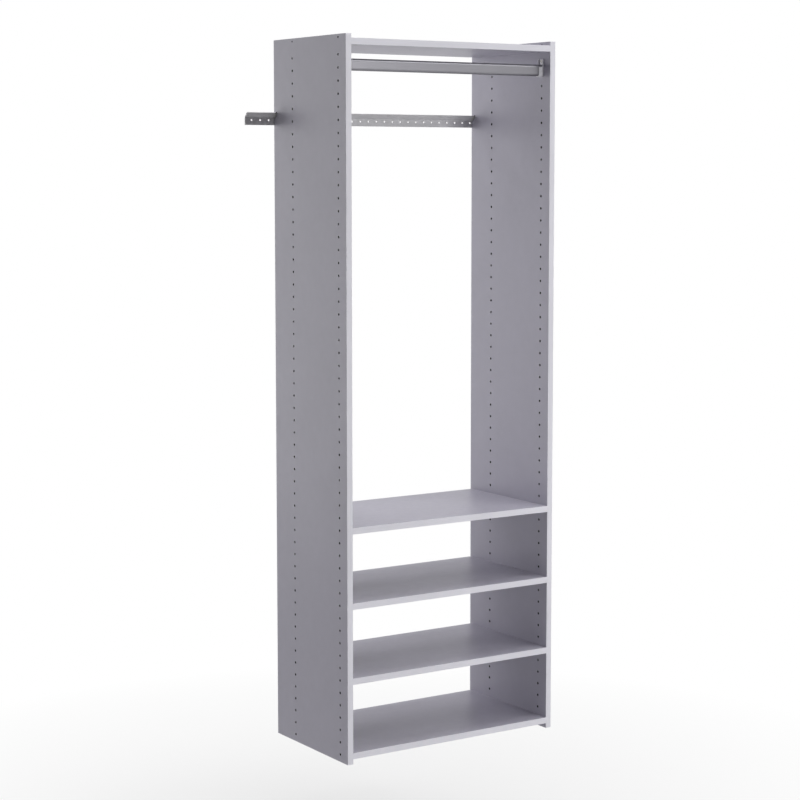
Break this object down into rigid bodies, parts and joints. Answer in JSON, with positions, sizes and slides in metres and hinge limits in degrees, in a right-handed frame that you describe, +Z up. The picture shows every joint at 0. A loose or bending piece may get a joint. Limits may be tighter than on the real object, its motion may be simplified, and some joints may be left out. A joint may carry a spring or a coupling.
{
  "type": "wall mounted closet tower",
  "caption": "Open closet tower of grey boards hung on a steel wall rail: two drilled side panels, fixed shelves on cam fittings and an oval hanging rod in open cups.",
  "frame": {"origin": "on the wall, on the wall rail's line of screw holes, in the middle of the tower's width; the rail's back lies on the wall there", "axes": "+Y into the wall, so that the front faces -Y; +X to the right seen from the front; +Z up, along the panels"},
  "size_m": [0.8255, 0.3579, 1.8288],
  "materials": {
    "melamine_board": "grey melamine on particle board, fine satin texture",
    "edge_band": "lighter grey satin edge band",
    "zinc_plated_steel": "zinc plated, dull",
    "satin_steel": "satin plated tube",
    "bracket_metal": "satin grey, cast zinc",
    "cast_zinc": "raw cast zinc",
    "fitting_steel": "bright zinc plated"
  },
  "bodies": {
    "wall_rail": {"wall_rail": "zinc_plated_steel"},
    "tower": {"left_panel": "melamine_board", "right_panel": "melamine_board", "left_panel_edge_band": "edge_band", "right_panel_edge_band": "edge_band", "top_shelf": "melamine_board", "top_shelf_edge_band": "edge_band", "top_shelf_dowels": "fitting_steel", "second_shelf": "melamine_board", "second_shelf_edge_band": "edge_band", "second_shelf_dowels": "fitting_steel", "third_shelf": "melamine_board", "third_shelf_edge_band": "edge_band", "third_shelf_dowels": "fitting_steel", "fourth_shelf": "melamine_board", "fourth_shelf_edge_band": "edge_band", "fourth_shelf_dowels": "fitting_steel", "bottom_shelf": "melamine_board", "bottom_shelf_edge_band": "edge_band", "bottom_shelf_dowels": "fitting_steel", "left_rod_bracket": "bracket_metal", "right_rod_bracket": "bracket_metal", "rod_bracket_screws": "fitting_steel"},
    "closet_rod": {"closet_rod": "satin_steel"},
    "top_shelf_cam_front_left": {"top_shelf_cam_front_left": "cast_zinc"},
    "top_shelf_cam_front_right": {"top_shelf_cam_front_right": "cast_zinc"},
    "top_shelf_cam_rear_left": {"top_shelf_cam_rear_left": "cast_zinc"},
    "top_shelf_cam_rear_right": {"top_shelf_cam_rear_right": "cast_zinc"},
    "second_shelf_cam_front_left": {"second_shelf_cam_front_left": "cast_zinc"},
    "second_shelf_cam_front_right": {"second_shelf_cam_front_right": "cast_zinc"},
    "second_shelf_cam_rear_left": {"second_shelf_cam_rear_left": "cast_zinc"},
    "second_shelf_cam_rear_right": {"second_shelf_cam_rear_right": "cast_zinc"},
    "third_shelf_cam_front_left": {"third_shelf_cam_front_left": "cast_zinc"},
    "third_shelf_cam_front_right": {"third_shelf_cam_front_right": "cast_zinc"},
    "third_shelf_cam_rear_left": {"third_shelf_cam_rear_left": "cast_zinc"},
    "third_shelf_cam_rear_right": {"third_shelf_cam_rear_right": "cast_zinc"},
    "fourth_shelf_cam_front_left": {"fourth_shelf_cam_front_left": "cast_zinc"},
    "fourth_shelf_cam_front_right": {"fourth_shelf_cam_front_right": "cast_zinc"},
    "fourth_shelf_cam_rear_left": {"fourth_shelf_cam_rear_left": "cast_zinc"},
    "fourth_shelf_cam_rear_right": {"fourth_shelf_cam_rear_right": "cast_zinc"},
    "bottom_shelf_cam_front_left": {"bottom_shelf_cam_front_left": "cast_zinc"},
    "bottom_shelf_cam_front_right": {"bottom_shelf_cam_front_right": "cast_zinc"},
    "bottom_shelf_cam_rear_left": {"bottom_shelf_cam_rear_left": "cast_zinc"},
    "bottom_shelf_cam_rear_right": {"bottom_shelf_cam_rear_right": "cast_zinc"}
  },
  "joints": [
    {"name": "tower_lift_off", "type": "slide", "parent": "wall_rail", "child": "tower", "axis": [0, -0.7071, 0.7071], "range_m": [0, 0.03]},
    {"name": "rod_lift_out", "type": "slide", "parent": "tower", "child": "closet_rod", "axis": [0, 0, 1], "range_m": [0, 0.028]},
    {"name": "top_shelf_cam_front_left_turn", "type": "hinge", "parent": "tower", "child": "top_shelf_cam_front_left", "pos_m": [-0.2708, -0.3209, 0.18476], "axis": [0, 0, -1], "range_deg": [0, 180]},
    {"name": "top_shelf_cam_front_right_turn", "type": "hinge", "parent": "tower", "child": "top_shelf_cam_front_right", "pos_m": [0.2708, -0.3209, 0.18476], "axis": [0, 0, -1], "range_deg": [0, 180]},
    {"name": "top_shelf_cam_rear_left_turn", "type": "hinge", "parent": "tower", "child": "top_shelf_cam_rear_left", "pos_m": [-0.2708, -0.0969, 0.18476], "axis": [0, 0, -1], "range_deg": [0, 180]},
    {"name": "top_shelf_cam_rear_right_turn", "type": "hinge", "parent": "tower", "child": "top_shelf_cam_rear_right", "pos_m": [0.2708, -0.0969, 0.18476], "axis": [0, 0, -1], "range_deg": [0, 180]},
    {"name": "second_shelf_cam_front_left_turn", "type": "hinge", "parent": "tower", "child": "second_shelf_cam_front_left", "pos_m": [-0.2708, -0.3209, -1.029], "axis": [0, 0, -1], "range_deg": [0, 180]},
    {"name": "second_shelf_cam_front_right_turn", "type": "hinge", "parent": "tower", "child": "second_shelf_cam_front_right", "pos_m": [0.2708, -0.3209, -1.029], "axis": [0, 0, -1], "range_deg": [0, 180]},
    {"name": "second_shelf_cam_rear_left_turn", "type": "hinge", "parent": "tower", "child": "second_shelf_cam_rear_left", "pos_m": [-0.2708, -0.0969, -1.029], "axis": [0, 0, -1], "range_deg": [0, 180]},
    {"name": "second_shelf_cam_rear_right_turn", "type": "hinge", "parent": "tower", "child": "second_shelf_cam_rear_right", "pos_m": [0.2708, -0.0969, -1.029], "axis": [0, 0, -1], "range_deg": [0, 180]},
    {"name": "third_shelf_cam_front_left_turn", "type": "hinge", "parent": "tower", "child": "third_shelf_cam_front_left", "pos_m": [-0.2708, -0.3209, -1.221], "axis": [0, 0, -1], "range_deg": [0, 180]},
    {"name": "third_shelf_cam_front_right_turn", "type": "hinge", "parent": "tower", "child": "third_shelf_cam_front_right", "pos_m": [0.2708, -0.3209, -1.221], "axis": [0, 0, -1], "range_deg": [0, 180]},
    {"name": "third_shelf_cam_rear_left_turn", "type": "hinge", "parent": "tower", "child": "third_shelf_cam_rear_left", "pos_m": [-0.2708, -0.0969, -1.221], "axis": [0, 0, -1], "range_deg": [0, 180]},
    {"name": "third_shelf_cam_rear_right_turn", "type": "hinge", "parent": "tower", "child": "third_shelf_cam_rear_right", "pos_m": [0.2708, -0.0969, -1.221], "axis": [0, 0, -1], "range_deg": [0, 180]},
    {"name": "fourth_shelf_cam_front_left_turn", "type": "hinge", "parent": "tower", "child": "fourth_shelf_cam_front_left", "pos_m": [-0.2708, -0.3209, -1.413], "axis": [0, 0, -1], "range_deg": [0, 180]},
    {"name": "fourth_shelf_cam_front_right_turn", "type": "hinge", "parent": "tower", "child": "fourth_shelf_cam_front_right", "pos_m": [0.2708, -0.3209, -1.413], "axis": [0, 0, -1], "range_deg": [0, 180]},
    {"name": "fourth_shelf_cam_rear_left_turn", "type": "hinge", "parent": "tower", "child": "fourth_shelf_cam_rear_left", "pos_m": [-0.2708, -0.0969, -1.413], "axis": [0, 0, -1], "range_deg": [0, 180]},
    {"name": "fourth_shelf_cam_rear_right_turn", "type": "hinge", "parent": "tower", "child": "fourth_shelf_cam_rear_right", "pos_m": [0.2708, -0.0969, -1.413], "axis": [0, 0, -1], "range_deg": [0, 180]},
    {"name": "bottom_shelf_cam_front_left_turn", "type": "hinge", "parent": "tower", "child": "bottom_shelf_cam_front_left", "pos_m": [-0.2708, -0.3209, -1.605], "axis": [0, 0, -1], "range_deg": [0, 180]},
    {"name": "bottom_shelf_cam_front_right_turn", "type": "hinge", "parent": "tower", "child": "bottom_shelf_cam_front_right", "pos_m": [0.2708, -0.3209, -1.605], "axis": [0, 0, -1], "range_deg": [0, 180]},
    {"name": "bottom_shelf_cam_rear_left_turn", "type": "hinge", "parent": "tower", "child": "bottom_shelf_cam_rear_left", "pos_m": [-0.2708, -0.0969, -1.605], "axis": [0, 0, -1], "range_deg": [0, 180]},
    {"name": "bottom_shelf_cam_rear_right_turn", "type": "hinge", "parent": "tower", "child": "bottom_shelf_cam_rear_right", "pos_m": [0.2708, -0.0969, -1.605], "axis": [0, 0, -1], "range_deg": [0, 180]}
  ]
}
